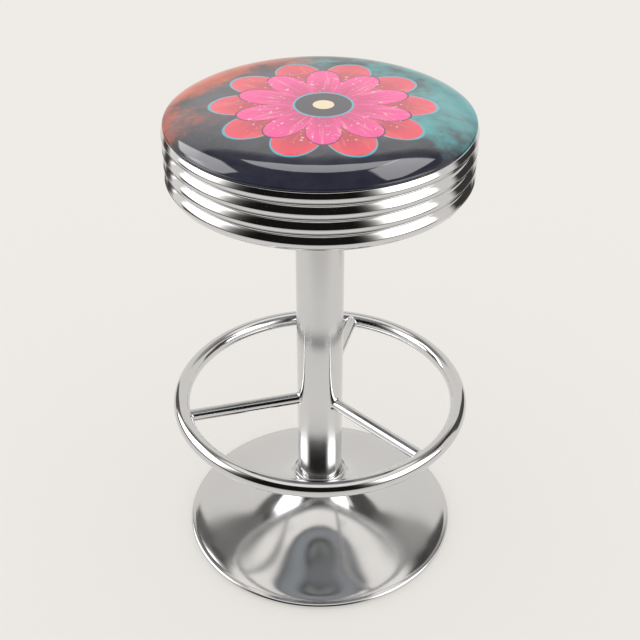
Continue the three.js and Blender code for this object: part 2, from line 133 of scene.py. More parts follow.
class Graph:
    """The shader nodes of one material or world."""

    def __init__(self, owner):
        owner.use_nodes = True
        self.tree = owner.node_tree
        self.tree.nodes.clear()

    def add(self, kind, settings=None, sockets=None, out=0):
        """A node of that kind: its settings first, then its sockets' values or links. Gives output out."""
        node = self.tree.nodes.new(kind)
        for name, value in (settings or {}).items():
            setattr(node, name, value)
        for name, value in (sockets or {}).items():
            if isinstance(value, Wire):
                self.tree.links.new(value.socket, node.inputs[name])
            else:
                node.inputs[name].default_value = value
        return Wire(self, node.outputs[out]) if node.outputs else None

    def tint(self, mask, first, second):
        """The first colour where mask is 0, the second where it is 1."""
        settings = {"data_type": "RGBA", "clamp_factor": True}
        return self.add("ShaderNodeMix", settings, {0: mask, 6: first, 7: second}, 2)

    def noise(self, where, scale, detail, roughness=0.5):
        """Fractal noise about 0.5, with scale lumps to the metre and detail octaves."""
        sockets = {"Vector": where, "Scale": scale, "Detail": detail, "Roughness": roughness}
        return self.add("ShaderNodeTexNoise", {}, sockets)

    def bump(self, strength, distance, height):
        """A normal that leans as a surface of that height would, distance being the height of 1."""
        sockets = {"Strength": strength, "Distance": distance, "Height": height}
        return self.add("ShaderNodeBump", {}, sockets)


pale = (0.863, 0.838, 0.799, 1)
studio_world = bpy.data.worlds.new("studio")
bpy.context.scene.world = studio_world
studio = Graph(studio_world)
ray = studio.add("ShaderNodeTexCoord", out="Generated")
azimuth, elevation = ray.azimuth(), ray.parts()[2].math("ARCSINE") * (180 / math.pi)
# The sweep's strength is 1 up to 41 degrees high, 0.48 from 44.5 and 0.25 from 68. Between 41 and 56 it
# is half of that at the rear corners.
sweep = 1 - elevation.step(41, 44.5) * 0.52 - elevation.step(46, 68) * 0.23
rear_corners = azimuth.between(-152, -118, 5) + azimuth.between(118, 143, 5)
sweep = sweep * (1 - rear_corners * elevation.between(41, 56, 2) * 0.5)
is_camera = studio.add("ShaderNodeLightPath", out="Is Camera Ray")
is_glossy = studio.add("ShaderNodeLightPath", out="Is Glossy Ray")
matt_before = studio.add("ShaderNodeLightPath", out="Diffuse Depth").step(0.4, 0.6)
shown = studio.add("ShaderNodeBackground", {}, {"Color": pale, "Strength": sweep})
even = studio.add("ShaderNodeBackground", {}, {"Color": (1, 1, 1, 1), "Strength": 1.0})
plain = studio.add("ShaderNodeBackground", {}, {"Color": pale, "Strength": 1.0})
mirrored = is_glossy * (1 - matt_before)
world_light = studio.add("ShaderNodeMixShader", {}, {0: mirrored, 1: even, 2: shown})
world_light = studio.add("ShaderNodeMixShader", {}, {0: is_camera, 1: world_light, 2: plain})
studio.add("ShaderNodeOutputWorld", {}, {"Surface": world_light})
studio_world.cycles.sampling_method = "NONE"


# Floor: a wide sheet of warm off-white paper, matt and faintly mottled. It is part of the studio, holds
# the stool's shadow, and is dimmer in mirrors far in front of the stool, where no light reaches it.
def faces_of(rows, columns, rows_close, columns_close):
    """Quads of a grid of points, numbered row by row; a closed side joins its last line to its first."""
    i = np.arange(rows if rows_close else rows - 1)[:, None]
    j = np.arange(columns if columns_close else columns - 1)[None, :]
    i_next, j_next = (i + 1) % rows, (j + 1) % columns
    corners = [i * columns + j, i * columns + j_next, i_next * columns + j_next, i_next * columns + j]
    return np.stack(np.broadcast_arrays(*corners), -1).reshape(-1, 4)


def object_of(name, points, faces, material, crease=30):
    """A mesh object of those points and faces, its doubles merged and its faces turned outwards."""
    mesh = bpy.data.meshes.new(name)
    mesh.from_pydata(points.reshape(-1, 3).tolist(), [], faces.tolist())
    work = bmesh.new()
    work.from_mesh(mesh)
    bmesh.ops.remove_doubles(work, verts=work.verts, dist=1e-6)
    bmesh.ops.recalc_face_normals(work, faces=work.faces)
    work.to_mesh(mesh)
    work.free()
    mesh.shade_smooth()
    mesh.set_sharp_from_angle(angle=math.radians(crease))
    mesh.materials.append(material)
    made = bpy.data.objects.new(name, mesh)
    bpy.context.scene.collection.objects.link(made)
    return made


def turned(profile, sides=192):
    """A profile of [radius, height] points carried round the Z axis: (r cos a, r sin a, h)."""
    r, h = np.asarray(profile, float).T[:, :, None]
    angle = np.linspace(0, 2 * np.pi, sides, endpoint=False)
    points = np.stack([r * np.cos(angle), r * np.sin(angle), h + 0 * angle], -1)
    closed = r[0, 0] > 0 and r[-1, 0] > 0
    return points, faces_of(len(r), sides, closed, True)


paper = bpy.data.materials.new("floor_paper")
coat = Graph(paper)
floor_place = coat.add("ShaderNodeTexCoord", out="Object")
grain = coat.noise(floor_place, 900.0, 3.0)
paper_colour = coat.tint(grain * 0.5, pale, (0.85, 0.825, 0.785, 1))
matt = coat.add("ShaderNodeBsdfDiffuse", {}, {"Color": paper_colour})
camera_ray = coat.add("ShaderNodeLightPath", out="Is Camera Ray")
mirror_ray = coat.add("ShaderNodeLightPath", out="Is Glossy Ray")
in_front = -floor_place.parts()[1]
mirrored_level = 1 - in_front.step(0.4, 1.2) * 0.2 - in_front.step(1.9, 3.1) * 0.8
glow_level = camera_ray + mirror_ray * mirrored_level
glow = coat.add("ShaderNodeEmission", {}, {"Color": pale, "Strength": glow_level})
lit = coat.add("ShaderNodeMixShader", {}, {0: camera_ray * 0.45 + mirror_ray, 1: matt, 2: glow})
coat.add("ShaderNodeOutputMaterial", {}, {"Surface": lit})
floor_level = -0.0002
floor_shape = turned([[r, floor_level] for r in (0, 0.4, 2, 12)], 96)
floor = object_of("floor", *floor_shape, paper)
floor.data.flip_normals()
floor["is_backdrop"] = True


# Studio fittings, which only mirrors see: a curved screen 3 m off, black in front, with a tall softbox at
# each side; a pale ceiling, which the chrome alone mirrors; and cards and boards close to the stool.
def wall(radius, first, last, low, high):
    """An upright part of a cylinder, from one azimuth to another: (r sin a, -r cos a, z)."""
    turn = np.radians(np.linspace(first, last, 97))[None, :]
    z = np.linspace(low, high, 9)[:, None]
    points = np.stack([radius * np.sin(turn) + 0 * z, -radius * np.cos(turn) + 0 * z, z + 0 * turn], -1)
    return points, faces_of(*points.shape[:2], False, False)


def mirrored_only(name, shape, light, ends=None, receivers=None):
    """A studio piece that glows by light(graph, place) in mirrors and takes no part in anything else.
    Between the azimuths ends[0] and ends[1] it is opaque, and it fades to clear over ends[2] outside.
    With receivers it is a clear sheet, and only they mirror its glow."""
    material = bpy.data.materials.new(name)
    card = Graph(material)
    place = card.add("ShaderNodeTexCoord", out="Object")
    colour, level = light(card, place)
    after_matt = card.add("ShaderNodeLightPath", out="Diffuse Depth").step(0.4, 0.6)
    level = level * (1 - after_matt)
    if receivers is None:
        level = level + after_matt
    shown = card.add("ShaderNodeEmission", {}, {"Color": colour, "Strength": level})
    clear = card.add("ShaderNodeBsdfTransparent")
    if receivers is not None:
        shown = card.add("ShaderNodeAddShader", {}, {0: shown, 1: clear})
    if ends is not None:
        opaque = place.azimuth().between(*ends)
        shown = card.add("ShaderNodeMixShader", {}, {0: opaque, 1: clear, 2: shown})
    card.add("ShaderNodeOutputMaterial", {}, {"Surface": shown})
    material.cycles.emission_sampling = "NONE"
    made = object_of(name, *shape, material)
    made.visible_camera = False
    made.visible_diffuse = False
    made.visible_shadow = False
    made.light_linking.receiver_collection = receivers
    made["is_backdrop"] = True


def ceiling_light(card, place):
    """Strength 1 out to 2.9 m from the axis, fading to 0 at the ceiling's edge."""
    x, y = place.parts()[:2]
    return pale, 1 - ((x * x + y * y) ** 0.5).step(2.89, 3.37)


ceiling_height, ceiling_radius = 5, 3.4
chrome_only = bpy.data.collections.new("lit_by_ceiling")
ceiling_shape = turned([[0, ceiling_height], [ceiling_radius, ceiling_height]])
mirrored_only("ceiling", ceiling_shape, ceiling_light, None, chrome_only)


def screen_light(card, place):
    """Two softboxes, each the product of a smooth rise round the screen, to the power 4 or 3, and of a
    smooth rise and fall up it; dimmer panels above them, a faint spill round them, and black between."""
    turn, z = place.azimuth(), place.parts()[2]
    left, right = (1 - turn.step(-84, -36)) ** 4, turn.step(20, 54) ** 3
    low = z.step(0.5, 0.82)
    boxes = low * (left * (1 - z.step(3.05, 3.85)) + right * (1 - z.step(3.35, 4.15)))
    over_boxes = left * z.step(3.3, 3.6) + right * z.step(3.6, 3.9)
    spill = (turn.between(-125, -55, 12) + turn.between(30, 95, 8)) * 0.08
    return card.tint(boxes, pale, (1, 1, 1, 1)), boxes * 3.6 + over_boxes * 0.45 + spill + 0.012


mirrored_only("studio_screen", wall(3.0, -124, 90, 0, 4.1), screen_light)
# Each card or board: radius, first and last azimuth, bottom and top, strength, softness of its ends.
for name, radius, first, last, low, high, level, soft in (
    ("left_card", 0.52, -129, -112, 0.22, 0.5, 0.15, 2),
    ("left_high_card", 0.52, -121, -108, 0.5, 0.70, 0.08, 4),
    ("right_card", 0.52, 96, 125, 0.22, 0.5, 0.10, 2),
    ("right_high_card", 0.52, 85, 119, 0.5, 0.70, 0.06, 6),
    ("left_board", 0.30, -93, -80, 0.54, 0.76, 1.1, 3),
    ("right_board", 0.30, 60, 75.5, 0.54, 0.76, 1.0, 4),
):
    shape = wall(radius, first - soft, last + soft, low, high)
    mirrored_only(name, shape, lambda card, place: (pale, level), (first, last, soft))


# Floor ring: a black rubber ring of rectangular section, pressed up under the brim of the base. It keeps
# the base from sliding and marking the floor.
ring_width, ring_rounding = 0.009, 0.0007


def rounded(corners, radius, steps=5):
    """Closed outline with each corner turned into a circular arc: a rational curve of degree 2."""
    corner = np.asarray(corners, float)
    reach = np.broadcast_to(np.asarray(radius, float), len(corner))[:, None]
    before = np.roll(corner, 1, 0) - corner
    after = np.roll(corner, -1, 0) - corner
    before = before / np.linalg.norm(before, axis=1, keepdims=True)
    after = after / np.linalg.norm(after, axis=1, keepdims=True)
    half = np.arccos(np.clip((before * after).sum(1, keepdims=True), -1, 1)) / 2
    setback = reach / np.tan(half)
    start, end, weight = corner + before * setback, corner + after * setback, np.sin(half)
    t = np.linspace(0, 1, steps)[:, None, None]
    share = (1 - t) ** 2 + 2 * t * (1 - t) * weight + t**2
    arc = ((1 - t) ** 2 * start + 2 * t * (1 - t) * weight * corner + t**2 * end) / share
    return arc.transpose(1, 0, 2).reshape(-1, 2)


def block(low_radius, high_radius, bottom, top, radius):
    """Outline of a ring's section, with rounded corners."""
    corners = [[low_radius, bottom], [high_radius, bottom], [high_radius, top], [low_radius, top]]
    return rounded(corners, radius)


def piece(name, shape, body, slot, material, *nodes, crease=30):
    """A piece of the stool that rides on a body, wears that material and stands for those CAD nodes, which
    it hides.
    """
    made = object_of(name, shape[0], shape[1], material, crease)
    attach(made, body)
    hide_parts(*nodes)
    if slot.endswith("chrome"):
        chrome_only.objects.link(made)
    return made


def finish(name, build):
    """A material whose Principled shader has the sockets that build gives."""
    material = bpy.data.materials.new(name)
    graph = Graph(material)
    place = graph.add("ShaderNodeTexCoord", out="Object")
    shader = graph.add("ShaderNodeBsdfPrincipled", {}, build(graph, place))
    graph.add("ShaderNodeOutputMaterial", {}, {"Surface": shader})
    return material


def rubber_finish(graph, place):
    speck = graph.noise(place, 700.0, 4.0)
    dust = graph.noise(place, 45.0, 3.0).step(0.5, 0.75)
    return {
        "Base Color": graph.tint(dust * 0.5, (0.012, 0.012, 0.012, 1), (0.045, 0.043, 0.04, 1)),
        "Roughness": 0.7 + speck * 0.2,
        "Normal": graph.bump(0.3, 0.0003, speck),
    }


rubber = finish("black_rubber", rubber_finish)
ring_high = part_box("floor_ring")[1]
ring_shape = block(ring_high.x - ring_width, ring_high.x, 0.0, ring_high.z, ring_rounding)
piece("floor_ring_rubber", turned(ring_shape), "base", "rubber", rubber, "floor_ring")


# Ballast plate: a cast-iron disc with a raised hub, painted black, that lies in the base on its lip and
# takes the pull of the clamp bolt.
def iron_finish(graph, place):
    pits = graph.noise(place, 260.0, 5.0, 0.6)
    worn = graph.noise(place, 30.0, 3.0).step(0.58, 0.7)
    return {
        "Base Color": graph.tint(worn, (0.012, 0.012, 0.013, 1), (0.06, 0.05, 0.045, 1)),
        "Roughness": 0.55 + pits * 0.3,
        "Metallic": worn * 0.6,
        "Normal": graph.bump(0.6, 0.0006, pits),
    }


def refinish(material, *nodes):
    """A better material for solids whose shape is right as it is."""
    for node in nodes:
        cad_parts[node].material_slots[0].material = material


refinish(finish("cast_iron_paint", iron_finish), "ballast_plate")

# Base cover: a spun steel trumpet, chromed and a little soft, its brim rolled into a bead and its lip
# turned in under the ballast. Its height is the integral of a slope that is steep only at neck and brim.
cover_wall = 0.0018
neck_radius, flare_radius = 0.0332, 0.184
cone_slope, neck_slope, neck_reach = 0.13, 1.11, 0.040
brim_slope, brim_reach = 0.27, 0.0118
flare_bottom = 0.009
brim_radius, brim_round, brim_height = 0.186, 0.004, 0.005
tuck_radius, lip_outer, lip_middle, lip_inner, lip_height = 0.1835, 0.182, 0.178, 0.169, 0.003


def flare_height(r):
    """Cone's rise, plus the neck's and the brim's slopes, each fading exponentially from its edge."""
    neck = np.exp(-(r - neck_radius) / neck_reach) - np.exp(-(flare_radius - neck_radius) / neck_reach)
    brim = 1 - np.exp(-(flare_radius - r) / brim_reach)
    rise = cone_slope * (flare_radius - r) + neck_slope * neck_reach * neck
    return flare_bottom + rise + brim_slope * brim_reach * brim


def rolled_sheet(line, thickness):
    """A wall of that thickness inside a line of [radius, height] points, as one closed outline."""
    line = np.asarray(line, float)
    along = np.gradient(line, axis=0)
    along = along / np.linalg.norm(along, axis=1, keepdims=True)
    inside = line + np.stack([along[:, 1], -along[:, 0]], -1) * thickness
    return np.concatenate([line, inside[::-1]])


def chrome_finish(roughness, smear, more=None):
    """Chrome plate of that roughness, rougher by up to smear under finger smudges and a faint haze."""
    def build(graph, place):
        smudge = graph.noise(place, 24.0, 4.0, 0.55)
        haze = graph.noise(place, 7.0, 2.0).step(0.45, 0.8)
        return {
            "Base Color": graph.tint(haze * 0.5, (0.66, 0.66, 0.665, 1), (0.62, 0.62, 0.63, 1)),
            "Metallic": 1.0,
            "Roughness": roughness + smear * (smudge.step(0.4, 0.75) + haze * 0.5),
            **(more or {}),
        }

    return build


satin_chrome = finish("satin_chrome", chrome_finish(0.12, 0.04))
flare_r = neck_radius + (flare_radius - neck_radius) * np.linspace(0, 1, 110) ** 1.15
flare = np.stack([flare_r, flare_height(flare_r)], -1)
bead_turn = np.linspace(0.44, -0.5, 26) * np.pi
bead = brim_round * np.stack([np.cos(bead_turn), np.sin(bead_turn)], -1) + [brim_radius, brim_height]
t = np.linspace(0, 1, 9)[1:, None]
tuck_start, tuck_corner = [brim_radius, brim_height - brim_round], [tuck_radius, brim_height - brim_round]
tuck = (1 - t) ** 2 * tuck_start + 2 * t * (1 - t) * tuck_corner + t**2 * [lip_outer, lip_height]
lip = [[lip_middle, lip_height], [lip_inner, lip_height]]
cover_line = np.concatenate([flare, bead, tuck, lip])
cover_shape = turned(rolled_sheet(cover_line, cover_wall), 320)
piece("base_trumpet", cover_shape, "base", "satin_chrome", satin_chrome, "base_cover", crease=50)


# Foot plug and clamp: a steel plug welded into the column's foot, and the bolt and washer that pull it
# down on the ballast from below. Zinc-plated, dull, and hidden inside the base.
def zinc_finish(graph, place):
    spangle = graph.noise(place, 180.0, 3.0)
    stain = graph.noise(place, 35.0, 4.0).step(0.45, 0.8)
    return {
        "Base Color": graph.tint(stain, (0.56, 0.57, 0.58, 1), (0.42, 0.42, 0.41, 1)),
        "Metallic": 1.0,
        "Roughness": 0.3 + spangle * 0.12 + stain * 0.15,
        "Normal": graph.bump(0.15, 0.0002, spangle),
    }


zinc_steel = finish("zinc_steel", zinc_finish)
refinish(zinc_steel, "clamp_washer", "clamp_bolt", "column_foot_plug")

# Column: one length of 62 mm steel tube from ballast to seat, polished lengthways and bright chromed. It
# is welded round the foot plug below and round the bearing's housing above.
column_radius, column_bore, column_rounding = 0.031, 0.029, 0.0005
column_low, column_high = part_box("column_tube")
column_shape = block(column_bore, column_radius, column_low.z, column_high.z, column_rounding)
lengthways = {"Anisotropic": 1.0, "Anisotropic Rotation": 0.25}
polished_tube = finish("polished_tube", chrome_finish(0.095, 0.02, lengthways))
piece("column", turned(column_shape, 160), "base", "chrome", polished_tube, "column_tube")

# Neck collar: a short chromed sleeve round the column's foot with two thin rolled beads. It sits on the
# neck of the base and hides the joint.
sleeve_bore, sleeve_radius, sleeve_gap = 0.0313, 0.0354, 0.0006
bead_height, lower_proud, upper_proud = 0.0075, 0.0024, 0.0013
bright_chrome = finish("bright_chrome", chrome_finish(0.07, 0.04))
collar_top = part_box("neck_collar")[1].z
collar_turn = np.linspace(0, 1, 13)[:, None] * np.pi
bead_side = np.concatenate([np.sin(collar_turn), (1 - np.cos(collar_turn)) / 2 * bead_height], 1)
lower_bead = bead_side * [lower_proud, 1] + [sleeve_radius, collar_top - 2 * bead_height]
upper_bead = bead_side * [upper_proud, 1] + [sleeve_radius, collar_top - bead_height]
foot_r = np.array([sleeve_bore, neck_radius, 0.0345, sleeve_radius])
collar_foot = np.stack([foot_r, flare_height(foot_r) + sleeve_gap], -1)
collar_line = np.concatenate([collar_foot, lower_bead, upper_bead[1:], [[sleeve_bore, collar_top]]])
piece("neck_sleeve", turned(collar_line, 160), "base", "chrome", bright_chrome, "neck_collar")

# Footrest hoop: 22 mm steel tube rolled into a ring, its butt weld ground flush, bright chromed. The three
# spokes carry it.
hoop_radius, hoop_tube, hoop_height = 0.1896, 0.011, 0.2213
hoop_turn = np.linspace(0, 2 * np.pi, 48, endpoint=False)
hoop_line = hoop_tube * np.stack([np.cos(hoop_turn), np.sin(hoop_turn)], -1) + [hoop_radius, hoop_height]
hoop_shape = turned(hoop_line, 384)
piece("footrest_ring", hoop_shape, "base", "chrome", bright_chrome, "footrest_hoop")

# Footrest spokes: three straight 16 mm bars from column to hoop, coped to both and welded all round with
# a small neat fillet, then chromed with them.
spoke_radius, spoke_sides, spoke_overrun = 0.008, 56, 0.0001
weld_width, weld_height, weld_rows = 0.0022, 0.0016, 9


def direction(angle):
    """Cosine and sine of an angle in degrees, counted from +X towards +Y."""
    return math.cos(math.radians(angle)), math.sin(math.radians(angle))


def spoke_surface(angle):
    """A round bar along a radius; each line of it runs from the column's face to the hoop's tube, and
    its radius grows by weld_height * (1 - d / weld_width) ** 2 within weld_width of either end."""
    ends = np.linspace(0, 1, weld_rows) ** 1.5 * weld_width
    from_start = np.concatenate([ends, [weld_width], ends[::-1]])[:, None]
    near = np.minimum(from_start, weld_width) / weld_width
    turn = np.linspace(0, 2 * np.pi, spoke_sides, endpoint=False)[None, :]
    radius = spoke_radius + weld_height * (1 - near) ** 2
    y, z = radius * np.cos(turn), radius * np.sin(turn)
    start = np.sqrt(column_radius**2 - y**2) - spoke_overrun
    end = np.sqrt((hoop_radius - np.sqrt(hoop_tube**2 - z**2)) ** 2 - y**2) + spoke_overrun
    first = np.arange(len(from_start))[:, None] < weld_rows
    middle = np.arange(len(from_start))[:, None] == weld_rows
    x = np.where(first, start + from_start, end - from_start)
    x = np.where(middle, (start + end) / 2, x)
    c, s = direction(angle)
    points = np.stack([x * c - y * s, x * s + y * c, z + hoop_height], -1)
    reach = [column_radius - 2 * spoke_overrun, hoop_radius - hoop_tube + 2 * spoke_overrun]
    caps = [np.full((1, spoke_sides, 3), [c * r, s * r, hoop_height]) for r in reach]
    points = np.concatenate([caps[0], points, caps[1]])
    return points, faces_of(len(points), spoke_sides, False, True)


for number, angle in enumerate((195, 315, 75), 1):
    node = f"footrest_spoke_{number}"
    piece(f"footrest_bar_{number}", spoke_surface(angle), "base", "chrome", bright_chrome, node)


# Bearing: a turned steel housing welded into the column's head, with two bronze bushes, two hardened
# races and eight balls in a bronze cage. The upper race turns with the seat.
def bronze_finish(graph, place):
    oil = graph.noise(place, 120.0, 4.0).step(0.4, 0.7)
    return {
        "Base Color": graph.tint(oil, (0.55, 0.36, 0.17, 1), (0.32, 0.2, 0.1, 1)),
        "Metallic": 1.0,
        "Roughness": 0.28 + oil * 0.15,
    }


refinish(finish("oiled_bronze", bronze_finish), "upper_bush", "lower_bush", "ball_cage")
refinish(zinc_steel, "lower_race", "upper_race", *(f"ball_{number}" for number in range(1, 9)))
housing_bore, housing_radius, flange_thick = 0.0124, 0.0287, 0.004
housing_low, housing_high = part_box("bearing_housing")
flange_low = housing_high.z - flange_thick
housing_corners = [
    [housing_bore, housing_low.z],
    [housing_radius, housing_low.z],
    [housing_radius, flange_low],
    [column_radius, flange_low],
    [column_radius, housing_high.z],
    [housing_bore, housing_high.z],
]
housing_shape = turned(rounded(housing_corners, [0.0005, 0.0008, 0.0002, 0.0004, 0.0012, 0.0005]), 96)
piece("bearing_shell", housing_shape, "base", "plain_steel", zinc_steel, "bearing_housing")

# Spindle: a 20 mm steel shaft welded through a wide disc that carries the seat on the upper race; a
# washer and a nut under the housing keep it in.
refinish(zinc_steel, "spindle", "spindle_washer", "spindle_nut")


def turned_finish(graph, place):
    settings = {"wave_type": "RINGS", "rings_direction": "Z"}
    sockets = {"Vector": place, "Scale": 220.0, "Distortion": 1.5, "Detail": 2.0}
    ring_marks = graph.add("ShaderNodeTexWave", settings, sockets, "Fac")
    return {
        "Base Color": (0.6, 0.61, 0.62, 1),
        "Metallic": 1.0,
        "Roughness": 0.34 + ring_marks * 0.08,
        "Normal": graph.bump(0.1, 0.0001, ring_marks),
    }


turned_steel = finish("turned_steel", turned_finish)
spindle_hole, disc_radius, disc_rounding = 0.0103, 0.055, 0.0006
disc_low, disc_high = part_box("spindle_flange")
disc_shape = turned(block(spindle_hole, disc_radius, disc_low.z, disc_high.z, disc_rounding), 128)
piece("spindle_disc", disc_shape, "seat", "plain_steel", turned_steel, "spindle_flange")


# Swivel plate: a pressed steel disc in black paint under the board, held by four hexagon bolts that
# screw into steel inserts in the wood.
def paint_finish(graph, place):
    peel = graph.noise(place, 320.0, 3.0)
    scuff = graph.noise(place, 60.0, 5.0, 0.65).step(0.62, 0.72)
    return {
        "Base Color": graph.tint(scuff, (0.012, 0.012, 0.013, 1), (0.05, 0.05, 0.05, 1)),
        "Roughness": 0.3 + peel * 0.1 + scuff * 0.2,
        "Normal": graph.bump(0.2, 0.0001, peel),
    }


black_paint = finish("black_paint", paint_finish)
plate_radius, plate_rounding = 0.085, 0.0012
plate_low, plate_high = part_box("swivel_plate")
plate_shape = turned(block(spindle_hole, plate_radius, plate_low.z, plate_high.z, plate_rounding), 160)
piece("seat_plate", plate_shape, "seat", "black_steel", black_paint, "swivel_plate")
bolt_circle, across_flats, shank, head_height, bolt_sides = 0.07, 0.013, 0.004, 0.0053, 72


def hexagon_bolt(centre, head_low, head_high, tip):
    """Rows of points round the bolt's axis, each at the hexagon's radius or at its row's own limit,
    whichever is less: a chamfered head below, a plain shank above."""
    corner = across_flats / 2 / math.cos(math.pi / 6)
    limit = np.array([0, 0.0058, 0.0066, corner, corner, 0.0068, shank, shank, 0.0034, 0])[:, None]
    rows = [head_low, head_low, head_low + 0.0005, head_low + 0.0013, head_high - 0.0004]
    rows += [head_high, head_high, tip - 0.0006, tip, tip]
    turn = np.linspace(0, 2 * np.pi, bolt_sides, endpoint=False)[None, :]
    hexagon = across_flats / 2 / np.cos(np.mod(turn + np.pi / 6, np.pi / 3) - np.pi / 6)
    radius = np.minimum(limit, hexagon)
    z = np.array(rows)[:, None] + 0 * turn
    points = np.stack([centre[0] + radius * np.cos(turn), centre[1] + radius * np.sin(turn), z], -1)
    return points, faces_of(len(rows), bolt_sides, False, True)


for number, angle in enumerate((0, 90, 180, 270), 1):
    node = f"plate_bolt_{number}"
    low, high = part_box(node)
    c, s = direction(angle)
    shape = hexagon_bolt((bolt_circle * c, bolt_circle * s), low.z, low.z + head_height, high.z)
    piece(f"seat_bolt_{number}", shape, "seat", "plain_steel", zinc_steel, node)
    refinish(zinc_steel, f"board_insert_{number}")


# Seat board: a 15 mm birch plywood disc, drilled for its inserts and screws. Its underside is sealed in a
# blue-grey paint, and the cover is stapled to it.
board_radius, ply_thick, paint_line, paint_soft = 0.174, 0.0015, 0.6088, 0.0002


def board_finish(graph, place):
    z = place.parts()[2]
    stretched = graph.add("ShaderNodeMapping", {}, {"Vector": place, "Scale": (4.0, 40.0, 4.0)})
    fibre = graph.noise(stretched, 12.0, 6.0, 0.6)
    veneer = z.math("PINGPONG", ply_thick) / ply_thick
    wood = graph.tint(fibre, (0.60, 0.42, 0.24, 1), (0.42, 0.26, 0.12, 1))
    wood = graph.tint(veneer.step(0.4, 0.6) * 0.4, wood, (0.25, 0.14, 0.06, 1))
    sealed = 1 - z.step(paint_line - paint_soft, paint_line + paint_soft)
    paint = graph.tint(fibre.step(0.35, 0.7), (0.50, 0.55, 0.61, 1), (0.56, 0.61, 0.67, 1))
    return {
        "Base Color": graph.tint(sealed, wood, paint),
        "Roughness": 0.55 + fibre * 0.2,
        "Normal": graph.bump(0.3, 0.0003, fibre),
    }


birch_board = finish("birch_board", board_finish)
board_low, board_high = (corner.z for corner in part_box("seat_board"))
board_outline = [[0, board_low], [board_radius, board_low], [board_radius, board_high], [0, board_high]]
piece("plywood_board", turned(board_outline), "seat", "plywood", birch_board, "seat_board")


# Cushion: a moulded foam pad with a flat top and a round shoulder, under a printed vinyl cover that is
# pulled over it, down inside the band and stapled under the board.
crown_rise, crown_power, roll_power, crown_reach = 0.0209, 5.7, 1.2, 0.1863
cushion_radius, rim_round, rim_height, under_height = 0.1847, 0.0035, 0.6328, 0.6312
skirt_radius, skirt_inside, hem_inside = 0.1755, 0.1742, 0.165
cloth_cells, cloth_cap, held_radius, moulded_radius, fade_width = 96, 0.0008, 0.175, 0.168, 0.08


def crown_side():
    """Half the crown's section: rim_height + rise * (1 - (r / reach) ** crown_power) ** (1 / roll_power),
    ended by an arc of radius rim_round that turns straight down at the cushion's radius."""
    r = np.linspace(0, cushion_radius, 6000)
    z = rim_height + crown_rise * (1 - (r / crown_reach) ** crown_power) ** (1 / roll_power)
    tilt = np.arctan(-np.gradient(z, r))
    last = np.argmax(r + rim_round * (1 - np.sin(tilt)) >= cushion_radius)
    turn = np.linspace(tilt[last], np.pi / 2, 60)[1:]
    arc_r = r[last] + rim_round * (np.sin(turn) - np.sin(tilt[last]))
    arc_z = z[last] + rim_round * (np.cos(turn) - np.cos(tilt[last]))
    return np.append(r[: last + 1], arc_r), np.append(z[: last + 1], arc_z), last


def crown_grid(cells):
    """A square grid bent to the crown: a point's ring is its larger coordinate, and its angle is its
    place along that ring; the rings close up towards the rim."""
    side = np.linspace(-1, 1, cells + 1)
    u, v = np.meshgrid(side, side, indexing="ij")
    ring = np.maximum(abs(u), abs(v))
    wide = abs(u) >= abs(v)
    across, along = np.where(wide, u, v), np.where(wide, v, u)
    angle = np.pi / 4 * along / np.where(across == 0, 1, across)
    angle = np.where(wide, angle, np.pi / 2 - angle) + np.pi * (across < 0)
    side_r, side_z, last = crown_side()
    length = np.append(0, np.cumsum(np.hypot(np.diff(side_r), np.diff(side_z))))
    crown_share = 0.86
    inner = length[last] * np.sin(np.pi / 2 * np.minimum(ring / crown_share, 1)) ** 0.95
    outer = (length[-1] - length[last]) * np.maximum(ring - crown_share, 0) / (1 - crown_share)
    where = inner + outer
    r = np.interp(where, length, side_r)
    return np.stack([r * np.cos(angle), r * np.sin(angle), np.interp(where, length, side_z)], -1)


def swollen(points, faces, pinned, cap):
    """The points after the surface has been blown up a little as cloth with its rim held; a point moves
    share * cap * tanh(distance / cap) towards where the cloth would take it, and share fades smoothly
    from 1 in the flat middle to 0 on the shoulder, which is moulded."""
    mesh = bpy.data.meshes.new("cloth")
    mesh.from_pydata(points.tolist(), [], faces[:, ::-1].tolist())
    cloth = bpy.data.objects.new("cloth", mesh)
    scene = bpy.context.scene
    scene.collection.objects.link(cloth)
    cloth.vertex_groups.new(name="rim").add(np.flatnonzero(pinned).tolist(), 1.0, "REPLACE")
    settings = cloth.modifiers.new("cloth", "CLOTH").settings
    settings.quality = 6
    settings.mass = 0.4
    settings.tension_stiffness = 40
    settings.compression_stiffness = 40
    settings.bending_stiffness = 8
    settings.use_pressure = True
    settings.uniform_pressure_force = 4
    settings.effector_weights.gravity = 0
    settings.vertex_group_mass = "rim"
    for step in range(1, 21):
        scene.frame_set(step)
    shown = cloth.evaluated_get(bpy.context.evaluated_depsgraph_get()).to_mesh()
    moved = np.empty(len(points) * 3)
    shown.vertices.foreach_get("co", moved)
    scene.frame_set(1)
    bpy.data.objects.remove(cloth)
    way = moved.reshape(-1, 3) - points
    far = np.maximum(np.linalg.norm(way, axis=1, keepdims=True), 1e-9)
    share = np.clip((moulded_radius - np.hypot(points[:, :1], points[:, 1:2])) / fade_width, 0, 1)
    share = share**2 * (3 - 2 * share)
    return points + share * (way / far * cap * np.tanh(far / cap) - [0, 0, cap])


